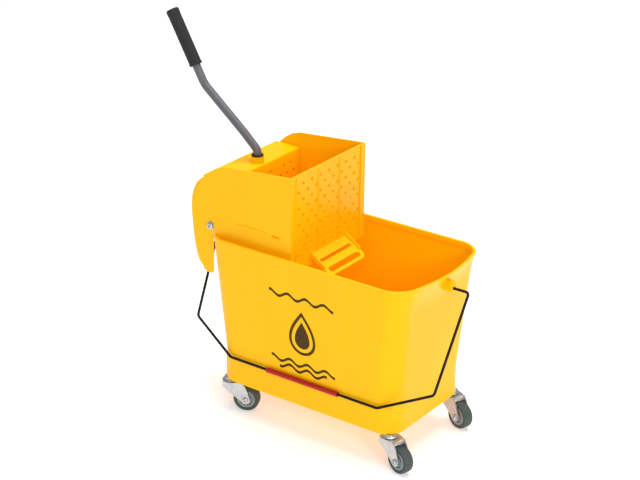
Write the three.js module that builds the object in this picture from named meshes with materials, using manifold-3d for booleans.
// A small janitorial mop bucket on four swivel casters, with a side-press wringer hung on one end,
// a bent steel press lever and a wire bail handle. Millimetres, +Z up, X along the bucket, Y across it.
// The pieces are drawn with X = 0 and Y = 0 at the middle of the bucket and Z = 0 on the floor; the last
// lines move the whole group so that its origin is the middle of its own footprint.
import * as THREE from "three";
import { mergeVertices } from "three/addons/utils/BufferGeometryUtils.js";
import Module from "manifold-3d";

const wasm = await Module();
wasm.setup();

// ---- bucket ----
const RIM_Z = 360;
const RIM_LENGTH = 430;
const RIM_WIDTH = 270;
const RIM_CORNER = 38;
const CREASE_ABOVE_FOOT = 53;
const CREASE_LENGTH = 397;
const CREASE_WIDTH = 239.4;
const FOOT_LENGTH = 399;
const FOOT_WIDTH = 243;
const FOOT_CORNER = 40;
const WALL = 3.2;
const RIM_WALL = 5.5;
const RIM_BAND = 9;
const SPOUT_REACH = 21;
const SPOUT_DEPTH = 62;
// ---- casters ----
const WHEEL_RADIUS = 25.4;
const WHEEL_WIDTH = 20;
const WHEEL_HEADROOM = 17.2;
const CASTER_HEIGHT = 2 * WHEEL_RADIUS + WHEEL_HEADROOM;
const CASTER_INSET = 18;
const CASTER_TRAIL = 30.5;
const STEM_RADIUS = 5;
const AXLE_RADIUS = 3;
const CROWN_RADIUS = 17.5;
const FORK_PLATE = 2.5;
// ---- bail ----
const WIRE_RADIUS = 2.6;
const BAIL_PIVOT_BELOW_RIM = 28;
const BAIL_LEAN = 30.7;
const BAIL_REACH = 245;
const BAIL_SHOULDER = 191;
const BAIL_END_CLEARANCE = 56;
const BAIL_REAR_SPLAY = 15;
const BAIL_FLAT_HALF = 166;
const BAIL_GRIP_LENGTH = 161;
const BAIL_GRIP_RADIUS = 5;
// ---- wringer ----
const WRINGER_WIDTH = 233;
const WRINGER_WALL = 3.4;
const PANEL_SETBACK = 182;
const PANEL_ABOVE_RIM = 151;
const WRINGER_FLOOR_BELOW_RIM = 38;
const HOLE_RADIUS = 3.5;
const PIVOT_BEHIND_RIM = 2;
const PIVOT_ABOVE_RIM = 15;
const PIVOT_BOLT_RADIUS = 4;
// ---- press and lever ----
const PLATE_FORWARD = 35;
const PLATE_TOP_ABOVE_PIVOT = 95;
const PLATE_WALL = 4;
const SOCKET_RADIUS = 12.5;
const LEVER_RADIUS = 8;
const LEVER_WALL = 1.6;
const LEVER_RISE = 243;
const GRIP_RADIUS = 12.5;
const GRIP_LENGTH = 109;
// ---- fits ----
const SLIP = 0.3;
const HANG_GAP = 1.2;
const SIDE_GAP = 1.8;

const FOOT_Z = CASTER_HEIGHT;
const CREASE_Z = FOOT_Z + CREASE_ABOVE_FOOT;
const FLOOR_Z = CREASE_Z + 3;
const END_X = RIM_LENGTH / 2;
const SIDE_Y = WRINGER_WIDTH / 2;
const deg = THREE.MathUtils.degToRad;
const V2 = (x, y) => new THREE.Vector2(x, y);
const V3 = (x, y, z) => new THREE.Vector3(x, y, z);

// ---- solids ----
function solid(geometry) {
  const bare = geometry.clone();
  for (const name of Object.keys(bare.attributes)) {
    if (name !== "position") bare.deleteAttribute(name);
  }
  const merged = mergeVertices(bare, 1e-3);
  return new wasm.Manifold(
    new wasm.Mesh({
      numProp: 3,
      vertProperties: merged.attributes.position.array,
      triVerts: new Uint32Array(merged.index.array),
    }),
  );
}

function geometryOf(manifold) {
  const mesh = manifold.getMesh();
  const position = new Float32Array(mesh.numVert * 3);
  for (let i = 0; i < mesh.numVert; i++) {
    for (let k = 0; k < 3; k++) position[i * 3 + k] = mesh.vertProperties[i * mesh.numProp + k];
  }
  const geometry = new THREE.BufferGeometry();
  geometry.setAttribute("position", new THREE.BufferAttribute(position, 3));
  geometry.setIndex(new THREE.BufferAttribute(new Uint32Array(mesh.triVerts), 1));
  geometry.computeVertexNormals();
  return geometry;
}

const join = (...solids) => solids.reduce((sum, part) => sum.add(part));
const cut = (base, ...tools) => tools.reduce((left, tool) => left.subtract(tool), base);

// A shape drawn in X and Z, extruded from y0 to y1.
function alongY(shape, y0, y1, options = {}) {
  const geometry = new THREE.ExtrudeGeometry(shape, {
    depth: y1 - y0,
    bevelEnabled: false,
    curveSegments: 6,
    ...options,
  });
  geometry.rotateX(Math.PI / 2);
  geometry.translate(0, y1, 0);
  return geometry;
}

// A shape drawn in Y and Z, extruded from x0 to x1.
function alongX(shape, x0, x1, segments = 6) {
  const geometry = new THREE.ExtrudeGeometry(shape, {
    depth: x1 - x0,
    bevelEnabled: false,
    curveSegments: segments,
  });
  geometry.applyMatrix4(new THREE.Matrix4().makeBasis(V3(0, 1, 0), V3(0, 0, 1), V3(1, 0, 0)));
  geometry.translate(x0, 0, 0);
  return geometry;
}

// A shape drawn in X and Y, extruded from z0 to z1.
function alongZ(shape, z0, z1, segments = 6) {
  const geometry = new THREE.ExtrudeGeometry(shape, {
    depth: z1 - z0,
    bevelEnabled: false,
    curveSegments: segments,
  });
  geometry.translate(0, 0, z0);
  return geometry;
}

function box(x0, x1, y0, y1, z0, z1) {
  const geometry = new THREE.BoxGeometry(x1 - x0, y1 - y0, z1 - z0);
  return geometry.translate((x0 + x1) / 2, (y0 + y1) / 2, (z0 + z1) / 2);
}

function polygon(points) {
  return new THREE.Shape(points.map(([x, y]) => V2(x, y)));
}

function disc(x, y, radius) {
  const shape = new THREE.Shape();
  shape.absarc(x, y, radius, 0, 2 * Math.PI);
  return shape;
}

// A round bar on a line parallel to an axis: "x", "y" or "z".
function bar(axis, from, to, a, b, radius, segments = 16) {
  const geometry = new THREE.CylinderGeometry(radius, radius, to - from, segments);
  if (axis === "x") {
    geometry.rotateZ(-Math.PI / 2);
    return geometry.translate((from + to) / 2, a, b);
  }
  if (axis === "y") return geometry.translate(a, (from + to) / 2, b);
  geometry.rotateX(Math.PI / 2);
  return geometry.translate(a, b, (from + to) / 2);
}

// A turned piece about Z. The profile runs from the axis back to the axis, or closes on itself.
function turned(points, segments = 24) {
  const geometry = new THREE.LatheGeometry(
    points.map(([r, z]) => V2(r, z)),
    segments,
  );
  return geometry.rotateX(Math.PI / 2);
}

// A ring turned about Z whose profile is given from its lowest inner corner, anticlockwise.
function ring(points, segments = 24) {
  return turned([...points, points[0]], segments);
}

// A wire bent through straight runs with rounded corners.
class BentWire extends THREE.Curve {
  constructor(corners, bendRadius, bendSteps) {
    super();
    this.points = [corners[0]];
    for (let i = 1; i < corners.length - 1; i++) {
      const before = corners[i - 1].clone().sub(corners[i]).normalize();
      const after = corners[i + 1].clone().sub(corners[i]).normalize();
      const half = before.angleTo(after) / 2;
      const reach = bendRadius[i - 1] / Math.tan(half);
      const start = corners[i].clone().addScaledVector(before, reach);
      const end = corners[i].clone().addScaledVector(after, reach);
      const middle = before.clone().add(after).normalize();
      const centre = corners[i].clone().addScaledVector(middle, bendRadius[i - 1] / Math.sin(half));
      const a = start.clone().sub(centre);
      const b = end.clone().sub(centre);
      const sweep = a.angleTo(b);
      for (let k = 0; k <= bendSteps; k++) {
        const t = k / bendSteps;
        const arm = a.clone().multiplyScalar(Math.sin((1 - t) * sweep) / Math.sin(sweep));
        arm.addScaledVector(b, Math.sin(t * sweep) / Math.sin(sweep));
        this.points.push(centre.clone().add(arm));
      }
    }
    this.points.push(corners[corners.length - 1]);
  }
  getSpacedPoints() {
    return this.points;
  }
  getTangentAt(u, target = new THREE.Vector3()) {
    const i = Math.round(u * (this.points.length - 1));
    const low = this.points[Math.max(0, i - 1)];
    const high = this.points[Math.min(this.points.length - 1, i + 1)];
    return target.copy(high).sub(low).normalize();
  }
}

function bent(path, radius, inner, segments) {
  const section = disc(0, 0, radius);
  if (inner) {
    const hole = new THREE.Path();
    hole.absarc(0, 0, inner, 0, 2 * Math.PI, true);
    section.holes.push(hole);
  }
  return new THREE.ExtrudeGeometry(section, {
    steps: path.points.length - 1,
    extrudePath: path,
    curveSegments: segments,
  });
}

// ---- the bucket's lofted shell ----
const mix = THREE.MathUtils.lerp;
// Length, width and corner radius of the outside at a height, and how far the pour spout leans out.
function levelAt(z) {
  const rise = (z - CREASE_Z) / (RIM_Z - CREASE_Z);
  const skirt = (z - FOOT_Z) / (CREASE_Z - FOOT_Z);
  const flare = THREE.MathUtils.clamp((z - (RIM_Z - SPOUT_DEPTH)) / SPOUT_DEPTH, 0, 1);
  if (z < CREASE_Z) {
    return {
      length: mix(FOOT_LENGTH, CREASE_LENGTH, skirt),
      width: mix(FOOT_WIDTH, CREASE_WIDTH, skirt),
      corner: FOOT_CORNER,
      spout: 0,
    };
  }
  return {
    length: mix(CREASE_LENGTH, RIM_LENGTH, rise),
    width: mix(CREASE_WIDTH, RIM_WIDTH, rise),
    corner: mix(FOOT_CORNER, RIM_CORNER, rise),
    spout: SPOUT_REACH * flare * flare,
  };
}

const UNIT = 100;
const UNIT_CORNER = 20;
const SPOUT_STEPS = 12;
// A rounded rectangle whose end at +X carries extra points for the spout's bow.
function unitOutline() {
  const a = UNIT - UNIT_CORNER;
  const shape = new THREE.Shape();
  shape.moveTo(UNIT, -a);
  for (let i = 1; i <= SPOUT_STEPS; i++) shape.lineTo(UNIT, mix(-a, a, i / SPOUT_STEPS));
  shape.absarc(a, a, UNIT_CORNER, 0, Math.PI / 2);
  shape.absarc(-a, a, UNIT_CORNER, Math.PI / 2, Math.PI);
  shape.absarc(-a, -a, UNIT_CORNER, Math.PI, 1.5 * Math.PI);
  shape.absarc(a, -a, UNIT_CORNER, 1.5 * Math.PI, 2 * Math.PI);
  return shape;
}

// A solid through the bucket's outline at each of the heights, grown outwards by grow at each one.
function shell(heights, grow, at = levelAt) {
  const steps = heights.length - 1;
  const geometry = new THREE.ExtrudeGeometry(unitOutline(), {
    depth: steps,
    steps,
    bevelEnabled: false,
    curveSegments: 6,
  });
  const position = geometry.attributes.position;
  const a = UNIT - UNIT_CORNER;
  for (let i = 0; i < position.count; i++) {
    const k = Math.round(position.getZ(i));
    const z = heights[k];
    const out = typeof grow === "number" ? grow : grow[k];
    const { length, width, corner, spout } = at(z);
    const x = position.getX(i);
    const y = position.getY(i);
    const halfX = length / 2 + out;
    const halfY = width / 2 + out;
    const radius = corner + out;
    const spanX = Math.max(0, Math.abs(x) - a) / UNIT_CORNER;
    const spanY = Math.max(0, Math.abs(y) - a) / UNIT_CORNER;
    const innerY = Math.min(Math.abs(y), a) / a;
    const newX = Math.sign(x) * (halfX - radius + radius * spanX);
    const newY = Math.sign(y) * ((halfY - radius) * innerY + radius * spanY);
    const bow = x > a ? spout * Math.cos((Math.PI / 2) * Math.min(1, Math.abs(newY) / halfY)) : 0;
    position.setXYZ(i, newX + bow * spanX, newY, z);
  }
  return solid(geometry);
}

const FLARE = [0, 0.2, 0.4, 0.6, 0.8, 1].map((t) => RIM_Z - SPOUT_DEPTH * (1 - t));
const BAIL_PIVOT_Z = RIM_Z - BAIL_PIVOT_BELOW_RIM;
const LUG_TIP = END_X + 25;
const casterSpots = { near_left: [-1, -1], near_right: [1, -1], far_left: [-1, 1], far_right: [1, 1] };
const casterHeading = { near_left: 23, near_right: -15, far_left: 12, far_right: -17 };
const casterX = FOOT_LENGTH / 2 - CASTER_INSET;
const casterY = FOOT_WIDTH / 2 - CASTER_INSET;

function bucket() {
  const outside = shell([FOOT_Z, CREASE_Z, ...FLARE], 0);
  const band = RIM_Z - RIM_BAND;
  const inside = shell(
    [FLOOR_Z, FLOOR_Z + 6, FLARE[0], FLARE[1], FLARE[2], FLARE[3], band - 4, band, RIM_Z + 1],
    [-WALL - 8, -WALL, -WALL, -WALL, -WALL, -WALL, -WALL, -RIM_WALL, -RIM_WALL],
  );
  const under = shell([FOOT_Z - 1, CREASE_Z - 0.5], -WALL);
  const lugShape = new THREE.Shape();
  lugShape.moveTo(-8, BAIL_PIVOT_Z);
  lugShape.absarc(0, BAIL_PIVOT_Z, 8, Math.PI, 2 * Math.PI);
  lugShape.lineTo(5, BAIL_PIVOT_Z + 14);
  lugShape.lineTo(-5, BAIL_PIVOT_Z + 14);
  const lugs = [alongX(lugShape, END_X - 12, LUG_TIP), alongX(lugShape, -LUG_TIP, -END_X + 12)];
  const bosses = [];
  const sockets = [];
  for (const [sx, sy] of Object.values(casterSpots)) {
    const at = [sx * casterX, sy * casterY];
    bosses.push(solid(bar("z", FOOT_Z + SLIP, CREASE_Z + 1, ...at, 9.5, 18)));
    sockets.push(solid(bar("z", FOOT_Z - 2, FOOT_Z + 38, ...at, STEM_RADIUS + SLIP, 14)));
  }
  const bores = [-1, 1].map((side) => {
    const ends = [side * (END_X - 4 + SPOUT_REACH / 2), side * (LUG_TIP + 2)].sort((a, b) => a - b);
    return solid(bar("x", ...ends, 0, BAIL_PIVOT_Z, WIRE_RADIUS + SLIP, 14));
  });
  let body = cut(join(outside, ...lugs.map(solid)), inside, under);
  body = join(body, ...bosses.map((boss) => boss.intersect(outside)));
  return cut(body, ...sockets, ...bores);
}

// ---- the wringer ----
const PANEL_X = -END_X + PANEL_SETBACK;
const PANEL_TOP = RIM_Z + PANEL_ABOVE_RIM;
const WRINGER_FLOOR = RIM_Z - WRINGER_FLOOR_BELOW_RIM;
const PIVOT_X = -END_X - PIVOT_BEHIND_RIM;
const PIVOT_Z = RIM_Z + PIVOT_ABOVE_RIM;
const BACK_X = -END_X - 53;
const INNER_BACK = -END_X + 15.5;
const SADDLE = RIM_Z + HANG_GAP;
const HOOD_FRONT = -END_X - 13;
const HOOD_LIP = -END_X - 22.7;

const EDGE = 12;
// The hood's outline in X and Z before its rounded edge is grown round it: from the floor at the panel,
// over the rounded back and down to the tip of the leg that hangs outside the bucket's end.
function hoodCore() {
  const shape = new THREE.Shape();
  shape.moveTo(PANEL_X - EDGE, WRINGER_FLOOR + EDGE);
  shape.lineTo(PANEL_X - EDGE, RIM_Z + 94);
  shape.lineTo(HOOD_FRONT, RIM_Z + 94);
  shape.splineThru([
    V2(-END_X - 24, RIM_Z + 90),
    V2(-END_X - 34, RIM_Z + 78),
    V2(BACK_X + EDGE, RIM_Z + 54),
    V2(BACK_X + EDGE + 0.5, RIM_Z + 20),
    V2(BACK_X + EDGE + 6, RIM_Z - 30),
    V2(-END_X - 27, RIM_Z - 58),
    V2(-END_X - 17, RIM_Z - 69),
  ]);
  shape.lineTo(HOOD_FRONT, RIM_Z - 69);
  shape.lineTo(HOOD_FRONT, WRINGER_FLOOR + EDGE);
  return shape;
}

// The flat side wall's outline, which stands above the hood's rounded edge.
function sideOutline() {
  return polygon([
    [PANEL_X, WRINGER_FLOOR],
    [PANEL_X, PANEL_TOP],
    [-END_X + 32, PANEL_TOP - 13.5],
    [-END_X + 14, PANEL_TOP - 19],
    [-END_X + 1, PANEL_TOP - 27],
    [-END_X - 12, PANEL_TOP - 38.5],
    [-END_X - 25, PANEL_TOP - 54],
    [-END_X - 35, PANEL_TOP - 71],
    [-END_X - 40, PANEL_TOP - 90],
    [-END_X - 40, RIM_Z + 20],
    [-END_X - 34, RIM_Z - 34],
    [-END_X - 27, RIM_Z - 62],
    [-END_X - 19, RIM_Z - 77],
    [HOOD_FRONT, RIM_Z - 81],
    [-END_X, RIM_Z - 81],
    [-END_X + 5, RIM_Z - 76],
    [-END_X + 6, WRINGER_FLOOR],
  ]);
}

// Round holes in staggered rows, as one shape's centre list: count, pitch and row spacing from the size.
function staggered(width, height, pitch, rowPitch) {
  const rows = Math.floor(height / rowPitch) + 1;
  const centres = [];
  for (let r = 0; r < rows; r++) {
    const count = Math.floor(width / pitch) + (r % 2 ? 0 : 1);
    for (let c = 0; c < count; c++) {
      centres.push([(c - (count - 1) / 2) * pitch, (r - (rows - 1) / 2) * rowPitch]);
    }
  }
  return centres;
}

function slotShape(x, y, length, width) {
  const shape = new THREE.Shape();
  const reach = length / 2 - width / 2;
  shape.absarc(x + reach, y, width / 2, -Math.PI / 2, Math.PI / 2);
  shape.absarc(x - reach, y, width / 2, Math.PI / 2, 1.5 * Math.PI);
  return shape;
}

// The sloping drain lip at the panel's foot, with two long slots across it.
const LIP_REACH = 58;
const LIP_HALF = 58;
function drainLip() {
  const top = WRINGER_FLOOR + 20;
  const fall = deg(32);
  const shape = new THREE.Shape();
  shape.moveTo(-LIP_HALF, 0);
  shape.lineTo(LIP_HALF, 0);
  shape.lineTo(LIP_HALF, LIP_REACH - 14);
  shape.absarc(LIP_HALF - 14, LIP_REACH - 14, 14, 0, Math.PI / 2);
  shape.absarc(-LIP_HALF + 14, LIP_REACH - 14, 14, Math.PI / 2, Math.PI);
  for (const [along, wide] of [[22, 7], [46, 11]]) {
    shape.holes.push(slotShape(0, along, 97, wide));
  }
  const plate = new THREE.ExtrudeGeometry(shape, { depth: 3.5, bevelEnabled: false, curveSegments: 4 });
  // The plate's own Y becomes the way down and forward, and its X becomes the way across.
  plate.applyMatrix4(
    new THREE.Matrix4().makeBasis(
      V3(0, -1, 0),
      V3(Math.cos(fall), 0, -Math.sin(fall)),
      V3(Math.sin(fall), 0, Math.cos(fall)),
    ),
  );
  plate.translate(PANEL_X - 3, 0, top);
  const cheek = polygon([
    [PANEL_X - 1, top + 9],
    [PANEL_X - 1, top - 2],
    [PANEL_X + 30, top - 20],
    [PANEL_X + 34, top - 14],
  ]);
  const cheeks = [-1, 1].map((side) => {
    const middle = side * (LIP_HALF - 2);
    return solid(alongY(cheek, middle - 1.5, middle + 1.5));
  });
  return join(solid(plate), ...cheeks);
}

function wringerBody() {
  // The hood's core with a rounded edge of the given size grown round it.
  const hood = (edge) =>
    solid(
      alongY(hoodCore(), -SIDE_Y + EDGE, SIDE_Y - EDGE, {
        curveSegments: 3,
        bevelEnabled: true,
        bevelThickness: edge,
        bevelSize: edge,
        bevelSegments: 3,
      }),
    );
  const t = WRINGER_WALL;
  const inY = SIDE_Y - t;
  const outer = join(hood(EDGE), solid(alongY(sideOutline(), -SIDE_Y, SIDE_Y)));
  const hollow = hood(EDGE - t);
  const above = solid(box(-END_X - 80, PANEL_X - t, -inY, inY, SADDLE + t, PANEL_TOP + 80));
  const hoodTop = solid(box(HOOD_FRONT, PANEL_X - t, -inY, inY, RIM_Z + 60, PANEL_TOP + 60));
  const sideBand = polygon([
    [PANEL_X - t, SADDLE + t],
    [PANEL_X - t, PANEL_TOP + 40],
    [HOOD_LIP, PANEL_TOP + 40],
    [-END_X - 24, RIM_Z + 92],
    [-END_X - 36, RIM_Z + 76],
    [-END_X - 41, RIM_Z + 54],
    [-END_X - 38, SADDLE + t],
  ]);
  const rear = join(hollow.intersect(above), solid(alongY(sideBand, -inY, inY)), hoodTop);
  const basket = solid(box(INNER_BACK + t, PANEL_X - t, -inY, inY, WRINGER_FLOOR + t, PANEL_TOP + 60));
  const outsideLeg = solid(box(-END_X - 80, INNER_BACK, -SIDE_Y - 5, SIDE_Y + 5, WRINGER_FLOOR - 60, SADDLE));
  const legHollow = hollow.intersect(outsideLeg);
  // The bucket's own wall, grown by the hanging gap, is cut out of the saddle's underside.
  const upright = () => ({ ...levelAt(RIM_Z), spout: 0 });
  const grown = shell([FOOT_Z, SADDLE], HANG_GAP, upright);
  // The inside of the cut is straight past the rim's band, so the wringer lifts out without catching on it.
  const room = shell([FOOT_Z - 5, CREASE_Z, SADDLE + 5], -RIM_WALL - 1);
  const wallBand = cut(grown, room);
  const tipOpening = solid(box(-END_X - 37, INNER_BACK, -inY, inY, RIM_Z - 95, SADDLE));
  const notch = solid(box(-END_X - 80, INNER_BACK - SLIP, -80, 80, RIM_Z - 95, RIM_Z - 10));
  const tools = [rear, basket, legHollow, tipOpening, notch, wallBand];
  // Panel holes.
  const panel = [];
  const holesTop = PANEL_TOP - 14;
  const holesFoot = WRINGER_FLOOR + 26;
  const middle = (holesTop + holesFoot) / 2;
  for (const [y, z] of staggered(WRINGER_WIDTH - 47, holesTop - holesFoot, 26.5, 15.4)) {
    panel.push(solid(bar("x", PANEL_X - t - 1, PANEL_X + 1, y, middle + z, HOLE_RADIUS, 12)));
  }
  // Floor slots.
  const floorFront = PANEL_X - t - 14;
  const floorBack = INNER_BACK + t + 14;
  const slotLength = (floorFront - floorBack - 20) / 3;
  const slotPitch = (WRINGER_WIDTH - 33) / 5;
  const slots = [];
  for (let i = 0; i < 3; i++) {
    for (let j = -2; j <= 2; j++) {
      const x = floorBack + slotLength / 2 + i * (slotLength + 10);
      const outline = slotShape(x, j * slotPitch, slotLength, 9);
      slots.push(solid(alongZ(outline, WRINGER_FLOOR - 1, WRINGER_FLOOR + t + 1, 3)));
    }
  }
  const pivots = solid(bar("y", -SIDE_Y - 2, SIDE_Y + 2, PIVOT_X, PIVOT_Z, PIVOT_BOLT_RADIUS + SLIP));
  const catches = solid(alongY(slotShape(PANEL_X - 35, RIM_Z + 30, 18, 5), -SIDE_Y - 2, SIDE_Y + 2));
  // Ribs down the panel's face, a long rib and a round bump on each side wall.
  const panelRib = (y, half, depth, z0, z1) =>
    solid(box(PANEL_X - 1, PANEL_X + depth, y - half, y + half, z0, z1));
  const ribs = [-1, 1].flatMap((s) => [
    panelRib(s * (SIDE_Y - 15.5), 1.6, 2.2, WRINGER_FLOOR + 8, PANEL_TOP - 1),
    panelRib(s * (SIDE_Y - 83.5), 1.2, 1.6, WRINGER_FLOOR + 24, PANEL_TOP - 4),
  ]);
  const markZ = RIM_Z + 30.5;
  const marks = [-1, 1].flatMap((s) => {
    const between = (depth) => [s * (SIDE_Y - 1), s * (SIDE_Y + depth)].sort((a, b) => a - b);
    return [
      solid(alongY(slotShape(PANEL_X - 88, markZ, 70, 6), ...between(1.4))),
      solid(bar("y", ...between(2.2), PANEL_X - 101, markZ, 5, 14)),
    ];
  });
  const shellBody = cut(outer, ...tools);
  return cut(join(shellBody, ...ribs, ...marks, drainLip()), ...panel, ...slots, pivots, catches);
}

// ---- the press ----
const PRESS_HALF = SIDE_Y - WRINGER_WALL - SIDE_GAP;
const LEVER_X = PIVOT_X + 20;
const PLATE_X = PIVOT_X + PLATE_FORWARD;
const PLATE_TOP = PIVOT_Z + PLATE_TOP_ABOVE_PIVOT;
const SOCKET_TOP = PIVOT_Z + 107;
const SOCKET_FOOT = PIVOT_Z + 26;
const LEVER_FOOT = SOCKET_FOOT + 5;
const LEVER_BOLT_Z = PIVOT_Z + 66;
const LEVER_BOLT_RADIUS = 2.5;

function pressPlate() {
  const back = PLATE_X - PLATE_WALL;
  const foot = PIVOT_Z + 28;
  const flangeBack = HOOD_LIP + HANG_GAP;
  const tube = solid(bar("y", -PRESS_HALF, PRESS_HALF, PIVOT_X, PIVOT_Z, 9, 18));
  const profile = polygon([
    [PIVOT_X + 2, PIVOT_Z + 6],
    [PIVOT_X + 6.5, PIVOT_Z + 4.5],
    [PLATE_X, foot],
    [PLATE_X, PLATE_TOP - 5],
    [PLATE_X - 1.5, PLATE_TOP - 1.5],
    [PLATE_X - 5, PLATE_TOP],
    [flangeBack, PLATE_TOP],
    [flangeBack, PLATE_TOP - PLATE_WALL],
    [back, PLATE_TOP - PLATE_WALL],
    [back, foot + 3],
  ]);
  const sheet = solid(alongY(profile, -PRESS_HALF, PRESS_HALF));
  const gusset = polygon([
    [PIVOT_X - 5, PIVOT_Z + 6],
    [PIVOT_X + 4, PIVOT_Z + 5],
    [back + 1, foot + 2],
    [back + 1, PLATE_TOP - 1],
    [flangeBack + 3, PLATE_TOP - 1],
  ]);
  const ribAt = [-PRESS_HALF + 3, -45, 45, PRESS_HALF - 3];
  const ribs = ribAt.map((y) => solid(alongY(gusset, y - 1.5, y + 1.5)));
  const socket = solid(bar("z", SOCKET_FOOT, SOCKET_TOP, LEVER_X, 0, SOCKET_RADIUS, 20));
  const web = solid(box(LEVER_X - 2, back + 1, -SOCKET_RADIUS, SOCKET_RADIUS, SOCKET_FOOT, PLATE_TOP - 1));
  const bore = solid(bar("z", LEVER_FOOT - SLIP, SOCKET_TOP + 2, LEVER_X, 0, LEVER_RADIUS + SLIP, 16));
  const bolt = solid(bar("y", -30, 30, LEVER_X, LEVER_BOLT_Z, LEVER_BOLT_RADIUS + SLIP, 12));
  const boreEnd = PRESS_HALF + 2;
  const pivotBore = solid(bar("y", -boreEnd, boreEnd, PIVOT_X, PIVOT_Z, PIVOT_BOLT_RADIUS + SLIP));
  const holes = [];
  const clear = SOCKET_RADIUS + 5;
  for (const [y, z] of staggered(2 * PRESS_HALF - 32.6, 54, 21, 18)) {
    const at = PIVOT_Z + 45 + z;
    const nearRib = ribAt.some((rib) => Math.abs(y - rib) < HOLE_RADIUS + 2);
    if (Math.abs(y) < clear || nearRib) continue;
    holes.push(solid(bar("x", back - 1, PLATE_X + 1, y, at, HOLE_RADIUS, 12)));
  }
  return cut(join(tube, sheet, ...ribs, socket, web), bore, bolt, pivotBore, ...holes);
}

// The lever's bends in the plane Y = 0, from its foot in the socket to the top of the grip.
const LEVER_KNEE = V3(LEVER_X, 0, SOCKET_TOP + 11);
const LEVER_BEND = V3(LEVER_X - 31, 0, LEVER_KNEE.z + 28);
const LEVER_ELBOW = V3(LEVER_BEND.x - 94, 0, LEVER_BEND.z + 76);
const GRIP_LEAN = deg(30);
const GRIP_WAY = V3(-Math.sin(GRIP_LEAN), 0, Math.cos(GRIP_LEAN));
const LEVER_TOP = LEVER_ELBOW.clone().addScaledVector(
  GRIP_WAY,
  (SOCKET_TOP + LEVER_RISE - LEVER_ELBOW.z) / GRIP_WAY.z,
);

function leverTube() {
  const corners = [V3(LEVER_X, 0, LEVER_FOOT), LEVER_KNEE, LEVER_BEND, LEVER_ELBOW, LEVER_TOP];
  const path = new BentWire(corners, [15, 60, 45], 4);
  const tube = solid(bent(path, LEVER_RADIUS, LEVER_RADIUS - LEVER_WALL, 6));
  const bolt = solid(bar("y", -30, 30, LEVER_X, LEVER_BOLT_Z, LEVER_BOLT_RADIUS + SLIP, 12));
  return cut(tube, bolt);
}

function leverGrip() {
  const inner = LEVER_RADIUS + SLIP;
  const end = 5;
  const profile = [
    [inner, -GRIP_LENGTH],
    [GRIP_RADIUS - 1.2, -GRIP_LENGTH],
    [GRIP_RADIUS, -GRIP_LENGTH + 2],
    [GRIP_RADIUS, end - 3],
    [GRIP_RADIUS - 3, end],
    [0, end],
    [0, SLIP],
    [inner, SLIP],
    [inner, -GRIP_LENGTH],
  ];
  const geometry = turned(profile, 20);
  geometry.rotateY(-GRIP_LEAN);
  return geometry.translate(LEVER_TOP.x, LEVER_TOP.y, LEVER_TOP.z);
}

function leverCollar() {
  const inner = LEVER_RADIUS + SLIP;
  const foot = SOCKET_TOP + SLIP;
  const profile = [[inner, foot], [11.5, foot], [11.5, foot + 2.5], [9.8, foot + 4], [inner, foot + 4]];
  return ring(profile, 18).translate(LEVER_X, 0, 0);
}

// ---- bolts ----
// A button-head bolt along +Z from the head's underside at z = 0 down to -length, with a hex recess.
function bolt(radius, length, headRadius, headHeight, segments = 12) {
  const body = turned(
    [
      [0, -length],
      [radius, -length],
      [radius, 0],
      [headRadius, 0],
      [headRadius, headHeight * 0.45],
      [headRadius * 0.72, headHeight],
      [0, headHeight],
    ],
    segments,
  );
  const recess = new THREE.CylinderGeometry(headRadius * 0.42, headRadius * 0.42, headHeight, 6);
  recess.rotateX(Math.PI / 2);
  recess.translate(0, 0, headHeight);
  return geometryOf(cut(solid(body), solid(recess)));
}

function nut(bore, across, height) {
  const outline = new THREE.Shape();
  for (let i = 0; i < 6; i++) {
    const angle = (i / 6) * 2 * Math.PI;
    const corner = V2(Math.cos(angle), Math.sin(angle)).multiplyScalar(across / Math.sqrt(3));
    if (i) outline.lineTo(corner.x, corner.y);
    else outline.moveTo(corner.x, corner.y);
  }
  const hole = new THREE.Path();
  hole.absarc(0, 0, bore, 0, 2 * Math.PI, true);
  outline.holes.push(hole);
  return alongZ(outline, 0, height, 6);
}

// Turns a piece drawn along +Z to point along +Y or -Y.
const pointY = (geometry, side) => geometry.rotateX(side > 0 ? -Math.PI / 2 : Math.PI / 2);

// ---- bail ----
const BAIL_FRONT = END_X + BAIL_END_CLEARANCE;
function bailPath() {
  const down = deg(BAIL_LEAN);
  const at = (x, r) => V3(x, -r * Math.sin(down), BAIL_PIVOT_Z - r * Math.cos(down));
  const hookEnd = LUG_TIP - 12;
  const rear = -BAIL_FRONT - BAIL_REAR_SPLAY;
  return new BentWire(
    [
      at(hookEnd, 0),
      at(BAIL_FRONT, 0),
      at(BAIL_FRONT - 4, BAIL_SHOULDER),
      at(BAIL_FLAT_HALF, BAIL_REACH),
      at(-BAIL_FLAT_HALF, BAIL_REACH),
      at(-BAIL_FRONT + 4, BAIL_SHOULDER),
      at(rear, 0),
      at(-hookEnd, 0),
    ],
    [6, 10, 12, 12, 10, 6],
    4,
  );
}

function bailGrip() {
  const inner = WIRE_RADIUS + SLIP;
  const half = BAIL_GRIP_LENGTH / 2;
  const profile = [
    [inner, -half],
    [BAIL_GRIP_RADIUS, -half],
    [BAIL_GRIP_RADIUS, half],
    [inner, half],
  ];
  const geometry = ring(profile, 16);
  geometry.rotateY(Math.PI / 2);
  const down = deg(BAIL_LEAN);
  return geometry.translate(0, -BAIL_REACH * Math.sin(down), BAIL_PIVOT_Z - BAIL_REACH * Math.cos(down));
}

// ---- casters, each drawn with its swivel axis on Z, its wheel trailing along +X ----
const CROWN_TOP = CASTER_HEIGHT - 7;
const RACE_TOP = CASTER_HEIGHT - 3;
const FORK_INNER = WHEEL_WIDTH / 2 + 2;

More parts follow.
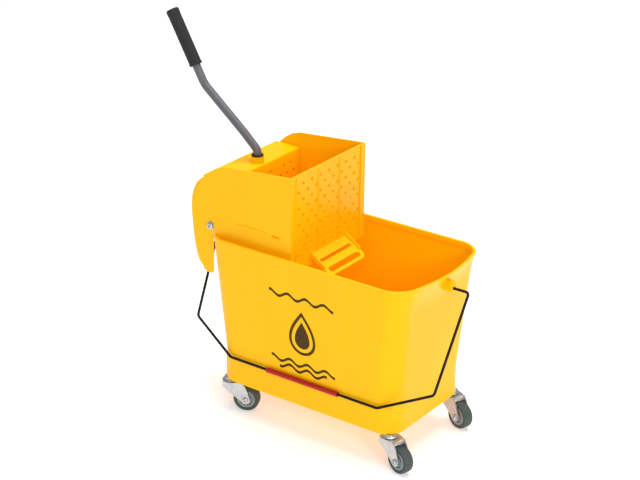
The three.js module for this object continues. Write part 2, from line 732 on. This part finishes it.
function casterStem() {
  const top = CASTER_HEIGHT - SLIP;
  return turned([
    [0, CROWN_TOP - 10],
    [5.5, CROWN_TOP - 10],
    [7, CROWN_TOP - 8],
    [7, CROWN_TOP - 3.2 - SLIP],
    [4, CROWN_TOP - 3.2 - SLIP],
    [4, RACE_TOP + SLIP],
    [13, RACE_TOP + SLIP],
    [13, top],
    [STEM_RADIUS, top],
    [STEM_RADIUS, CASTER_HEIGHT + 33],
    [STEM_RADIUS - 1.5, CASTER_HEIGHT + 36],
    [0, CASTER_HEIGHT + 36],
  ], 12);
}

function casterRace() {
  return ring([
    [4 + SLIP, CROWN_TOP + SLIP],
    [CROWN_RADIUS - 4, CROWN_TOP + SLIP],
    [CROWN_RADIUS - 1, CROWN_TOP + 1.6],
    [CROWN_RADIUS - 4, RACE_TOP],
    [4 + SLIP, RACE_TOP],
  ], 18);
}

function casterFork() {
  const low = CROWN_TOP - 3.2;
  const leg = new THREE.Shape();
  leg.moveTo(-CROWN_RADIUS + 3, CROWN_TOP - 1.5);
  leg.lineTo(-CROWN_RADIUS + 3.5, CROWN_TOP - 12);
  leg.lineTo(CASTER_TRAIL - 8.2, WHEEL_RADIUS - 3.6);
  leg.absarc(CASTER_TRAIL, WHEEL_RADIUS, 9, deg(204), deg(380));
  leg.lineTo(CASTER_TRAIL + 2.5, CROWN_TOP - 13);
  leg.lineTo(CASTER_TRAIL - 6, CROWN_TOP - 1.5);
  const outer = FORK_INNER + FORK_PLATE;
  const legs = [-1, 1].map((side) => {
    const y = side > 0 ? FORK_INNER : -outer;
    return solid(alongY(leg, y, y + FORK_PLATE, { curveSegments: 5 }));
  });
  const top = new THREE.Shape();
  top.moveTo(0, -CROWN_RADIUS);
  top.lineTo(CASTER_TRAIL - 10, -outer);
  top.lineTo(CASTER_TRAIL - 6, -outer + 4);
  top.lineTo(CASTER_TRAIL - 6, outer - 4);
  top.lineTo(CASTER_TRAIL - 10, outer);
  top.lineTo(0, CROWN_RADIUS);
  top.absarc(0, 0, CROWN_RADIUS, Math.PI / 2, 1.5 * Math.PI);
  const crown = solid(alongZ(top, low, CROWN_TOP, 5));
  const king = solid(bar("z", low - 2, CROWN_TOP + 2, 0, 0, 4 + SLIP));
  const axle = solid(bar("y", -30, 30, CASTER_TRAIL, WHEEL_RADIUS, AXLE_RADIUS + SLIP, 12));
  return cut(join(crown, ...legs), king, axle);
}

function casterAxle() {
  const outer = FORK_INNER + FORK_PLATE;
  return pointY(bolt(AXLE_RADIUS, 2 * outer + 6 + SLIP, 5.5, 3.2), -1).translate(
    CASTER_TRAIL,
    -outer - SLIP,
    WHEEL_RADIUS,
  );
}

function casterNut() {
  const outer = FORK_INNER + FORK_PLATE;
  return pointY(nut(AXLE_RADIUS + SLIP, 10, 4.5), 1).translate(CASTER_TRAIL, outer + SLIP, WHEEL_RADIUS);
}

const onAxle = (geometry) => geometry.rotateX(Math.PI / 2).translate(CASTER_TRAIL, 0, WHEEL_RADIUS);

function wheelHub() {
  const half = WHEEL_WIDTH / 2;
  const bore = AXLE_RADIUS + SLIP;
  return onAxle(
    ring([
      [bore, -half - 0.8],
      [7, -half - 0.8],
      [7.5, -half + 4],
      [13.2, -half + 4],
      [14, -half + 0.4],
      [17.6, -half + 0.4],
      [17.6, half - 0.4],
      [14, half - 0.4],
      [13.2, half - 4],
      [7.5, half - 4],
      [7, half + 0.8],
      [bore, half + 0.8],
    ], 18),
  );
}

function wheelTyre() {
  const half = WHEEL_WIDTH / 2;
  return onAxle(
    ring(
      [
        [17.6 + SLIP, -half + 0.4],
        [22.6, -half],
        [WHEEL_RADIUS - 1, -half + 1.4],
        [WHEEL_RADIUS, -half + 4],
        [WHEEL_RADIUS, half - 4],
        [WHEEL_RADIUS - 1, half - 1.4],
        [22.6, half],
        [17.6 + SLIP, half - 0.4],
      ],
      28,
    ),
  );
}

// ---- assembly ----
const surface = (color, roughness, metalness) => {
  return () => new THREE.MeshStandardMaterial({ color, roughness, metalness });
};
const looks = {
  yellow: surface(0xffc400, 0.35, 0),
  wire: surface(0x1c1a1a, 0.45, 0.6),
  red: surface(0xc4201a, 0.4, 0),
  paint: surface(0x77787f, 0.45, 0.5),
  rubber: surface(0x1b1b1d, 0.75, 0),
  zinc: surface(0xb9bbb8, 0.35, 1),
  hub: surface(0x8f979c, 0.5, 0),
  tyre: surface(0x46524e, 0.8, 0),
};

const object = new THREE.Group();
function place(name, piece, look, parent = object) {
  const geometry = piece.isBufferGeometry ? piece : geometryOf(piece);
  const mesh = new THREE.Mesh(geometry, looks[look]());
  mesh.name = name;
  parent.add(mesh);
  return mesh;
}

place("bucket", bucket(), "yellow");
place("wringer_body", wringerBody(), "yellow");
place("press_plate", pressPlate(), "yellow");
place("lever_tube", leverTube(), "paint");
place("lever_grip", leverGrip(), "rubber");
place("lever_collar", leverCollar(), "rubber");
const socketFace = SOCKET_RADIUS + SLIP;
const leverBolt = pointY(bolt(LEVER_BOLT_RADIUS, 2 * socketFace + 5, 4.5, 2.6), -1);
place("lever_bolt", leverBolt.translate(LEVER_X, -socketFace, LEVER_BOLT_Z), "zinc");
const leverNut = pointY(nut(LEVER_BOLT_RADIUS + SLIP, 8, 4), 1);
place("lever_nut", leverNut.translate(LEVER_X, socketFace, LEVER_BOLT_Z), "zinc");
for (const [name, side] of [["near", -1], ["far", 1]]) {
  const bore = PIVOT_BOLT_RADIUS + SLIP;
  const washer = pointY(ring([[bore, SLIP], [8, SLIP], [8, 1.8], [bore, 1.8]], 18), side);
  place(`pivot_washer_${name}`, washer.translate(PIVOT_X, side * SIDE_Y, PIVOT_Z), "zinc");
  const pin = pointY(bolt(PIVOT_BOLT_RADIUS, 30, 6.5, 4), side);
  place(`pivot_bolt_${name}`, pin.translate(PIVOT_X, side * (SIDE_Y + 1.8 + SLIP), PIVOT_Z), "zinc");
}
place("bail_wire", bent(bailPath(), WIRE_RADIUS, 0, 4), "wire");
place("bail_grip", bailGrip(), "red");

for (const [spot, [sx, sy]] of Object.entries(casterSpots)) {
  const mount = new THREE.Group();
  mount.position.set(sx * casterX, sy * casterY, 0);
  object.add(mount);
  place(`stem_${spot}`, casterStem(), "zinc", mount);
  const swivel = new THREE.Group();
  swivel.rotation.z = deg(casterHeading[spot]);
  mount.add(swivel);
  place(`race_${spot}`, casterRace(), "zinc", swivel);
  place(`fork_${spot}`, casterFork(), "zinc", swivel);
  place(`axle_${spot}`, casterAxle(), "zinc", swivel);
  place(`axle_nut_${spot}`, casterNut(), "zinc", swivel);
  place(`hub_${spot}`, wheelHub(), "hub", swivel);
  place(`tyre_${spot}`, wheelTyre(), "tyre", swivel);
}

const bounds = new THREE.Box3().setFromObject(object, true);
object.position.set(-(bounds.min.x + bounds.max.x) / 2, -(bounds.min.y + bounds.max.y) / 2, -bounds.min.z);

export default object;
